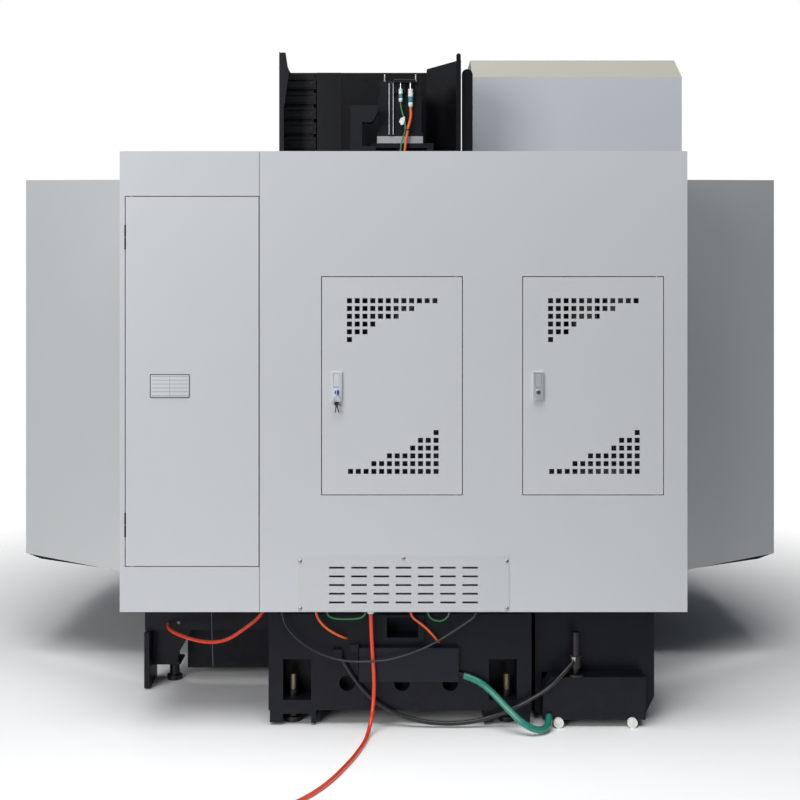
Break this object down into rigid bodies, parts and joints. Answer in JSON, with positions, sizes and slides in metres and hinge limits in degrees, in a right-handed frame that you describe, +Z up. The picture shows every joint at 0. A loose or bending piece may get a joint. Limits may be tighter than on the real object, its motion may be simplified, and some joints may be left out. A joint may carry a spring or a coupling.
{
  "type": "cnc machining center",
  "caption": "Vertical machining centre with sheet-metal enclosure, rear electrical cabinet, tool magazine cover and coolant tank.",
  "frame": {"origin": "middle of the bounding box's underside on the floor, without the hoses", "axes": "+X to the operator's right, +Y to the rear, +Z up"},
  "size_m": [3.24, 3.1752, 2.605],
  "materials": {
    "light_paint": "fine orange-peel satin powder coat",
    "cabinet_paint": "fine-textured satin powder coat",
    "cover_paint": "satin powder coat",
    "navy_paint": "half-gloss machine enamel",
    "black_sheet": "gloss enamel on sheet",
    "black_plastic": "moulded nylon",
    "motor_black": "satin lacquer",
    "steel": "ground steel",
    "zinc": "bright zinc",
    "chrome": "satin chrome",
    "aluminium": "milled",
    "cast_iron": "milled top",
    "galvanised": "galvanised sheet",
    "drive_plastic": "moulded plastic",
    "nylon_white": "nylon",
    "red_plastic": "moulded plastic",
    "panel_plastic": "textured plastic",
    "orange_hose": "polyurethane tube",
    "black_rubber": "smooth rubber",
    "green_hose": "ribbed PVC",
    "cable_skin": "PVC",
    "brass": "nickelled brass"
  },
  "bodies": {
    "frame": {"base_casting": "navy_paint", "column": "navy_paint", "levelling_feet": "steel", "fixed_rails": "steel", "screw_bearings": "cast_iron", "y_motor": "motor_black", "z_motor": "motor_black", "z_motor_mount": "aluminium", "magazine_bracket": "navy_paint", "magazine_cover": "cover_paint", "top_guard": "black_sheet", "cable_chain": "black_plastic", "enclosure_right": "light_paint", "enclosure_left": "light_paint", "enclosure_front": "light_paint", "chip_pan": "navy_paint", "electrical_cabinet": "cabinet_paint", "vent_panel": "cabinet_paint", "panel_screws": "zinc", "mounting_plate": "galvanised", "servo_drives": "drive_plastic", "cabinet_leg": "navy_paint", "coolant_tank": "navy_paint", "coolant_pump": "steel", "drain_box": "navy_paint", "control_panel": "panel_plastic", "air_hose": "orange_hose", "air_hose_fitting": "brass", "beam_hose": "orange_hose", "black_hose": "black_rubber", "coolant_hose": "green_hose", "small_cables": "cable_skin"},
    "saddle": {"saddle": "navy_paint", "x_rails": "steel", "y_carriages": "steel", "x_motor": "motor_black"},
    "table": {"table": "cast_iron", "x_carriages": "steel"},
    "head": {"spindle_head": "navy_paint", "z_carriages": "steel", "spindle_motor": "motor_black"},
    "spindle": {"spindle": "steel"},
    "x_screw": {"x_screw": "steel"},
    "y_screw": {"y_screw": "steel"},
    "z_screw": {"z_screw": "steel"},
    "magazine_carriage": {"magazine_carriage": "navy_paint"},
    "tool_disc": {"tool_disc": "aluminium", "tool_holders": "chrome"},
    "front_door_left": {"front_door_left": "light_paint"},
    "front_door_right": {"front_door_right": "light_paint"},
    "e_stop": {"e_stop": "red_plastic"},
    "override_knob": {"override_knob": "black_plastic"},
    "tall_door": {"tall_door": "cabinet_paint"},
    "vent_door_a": {"vent_door_a": "cabinet_paint"},
    "vent_door_b": {"vent_door_b": "cabinet_paint"},
    "lever_a": {"lever_a": "chrome"},
    "lever_b": {"lever_b": "chrome"},
    "wheelset_a": {"wheelset_a": "nylon_white"},
    "wheelset_b": {"wheelset_b": "nylon_white"}
  },
  "joints": [
    {"name": "y_axis", "type": "slide", "parent": "frame", "child": "saddle", "axis": [0, 1, 0], "range_m": [-0.25, 0.25]},
    {"name": "x_axis", "type": "slide", "parent": "saddle", "child": "table", "axis": [1, 0, 0], "range_m": [-0.5, 0.5]},
    {"name": "z_axis", "type": "slide", "parent": "frame", "child": "head", "axis": [0, 0, 1], "range_m": [-0.6, 0]},
    {"name": "spindle_turn", "type": "hinge", "parent": "head", "child": "spindle", "pos_m": [0, -0.33, 1.85], "axis": [0, 0, 1], "continuous": true},
    {"name": "x_screw_turn", "type": "hinge", "parent": "saddle", "child": "x_screw", "pos_m": [0, -0.33, 0.772], "axis": [1, 0, 0], "continuous": true},
    {"name": "y_screw_turn", "type": "hinge", "parent": "frame", "child": "y_screw", "pos_m": [0, -0.33, 0.588], "axis": [0, 1, 0], "continuous": true},
    {"name": "z_screw_turn", "type": "hinge", "parent": "frame", "child": "z_screw", "pos_m": [0, 0.262, 1.5], "axis": [0, 0, 1], "continuous": true},
    {"name": "magazine_slide", "type": "slide", "parent": "frame", "child": "magazine_carriage", "axis": [1, 0, 0], "range_m": [0, 0.49]},
    {"name": "disc_index", "type": "hinge", "parent": "magazine_carriage", "child": "tool_disc", "pos_m": [-0.78, -0.33, 1.56], "axis": [0, 0, 1], "continuous": true},
    {"name": "door_left_slide", "type": "slide", "parent": "frame", "child": "front_door_left", "axis": [1, 0, 0], "range_m": [-0.5, 0]},
    {"name": "door_right_slide", "type": "slide", "parent": "frame", "child": "front_door_right", "axis": [1, 0, 0], "range_m": [0, 0.5]},
    {"name": "e_stop_press", "type": "slide", "parent": "frame", "child": "e_stop", "axis": [0, 1, 0], "range_m": [0, 0.006]},
    {"name": "override_turn", "type": "hinge", "parent": "frame", "child": "override_knob", "pos_m": [0.78, -1.155, 1.16], "axis": [0, 1, 0], "range_deg": [-150, 150]},
    {"name": "tall_door_hinge", "type": "hinge", "parent": "frame", "child": "tall_door", "pos_m": [0.954, 1.151, 1.24], "axis": [0, 0, 1], "range_deg": [-110, 0]},
    {"name": "vent_door_a_hinge", "type": "hinge", "parent": "frame", "child": "vent_door_a", "pos_m": [-0.2, 1.151, 1.22], "axis": [0, 0, 1], "range_deg": [0, 110]},
    {"name": "vent_door_b_hinge", "type": "hinge", "parent": "frame", "child": "vent_door_b", "pos_m": [-0.914, 1.151, 1.22], "axis": [0, 0, 1], "range_deg": [0, 110]},
    {"name": "lever_a_lift", "type": "hinge", "parent": "vent_door_a", "child": "lever_a", "pos_m": [0.224, 1.167, 1.222], "axis": [-1, 0, 0], "range_deg": [0, 60]},
    {"name": "lever_b_lift", "type": "hinge", "parent": "vent_door_b", "child": "lever_b", "pos_m": [-0.49, 1.167, 1.222], "axis": [-1, 0, 0], "range_deg": [0, 60]},
    {"name": "wheelset_a_roll", "type": "hinge", "parent": "frame", "child": "wheelset_a", "pos_m": [-0.566, 0.5, 0.018], "axis": [0, 1, 0], "continuous": true},
    {"name": "wheelset_b_roll", "type": "hinge", "parent": "frame", "child": "wheelset_b", "pos_m": [-0.829, 0.5, 0.018], "axis": [0, 1, 0], "continuous": true}
  ],
  "couplings": [
    {"joint": "x_screw_turn", "follows": "x_axis", "rad_per_m": 628.32},
    {"joint": "y_screw_turn", "follows": "y_axis", "rad_per_m": 628.32},
    {"joint": "z_screw_turn", "follows": "z_axis", "rad_per_m": 628.32}
  ]
}
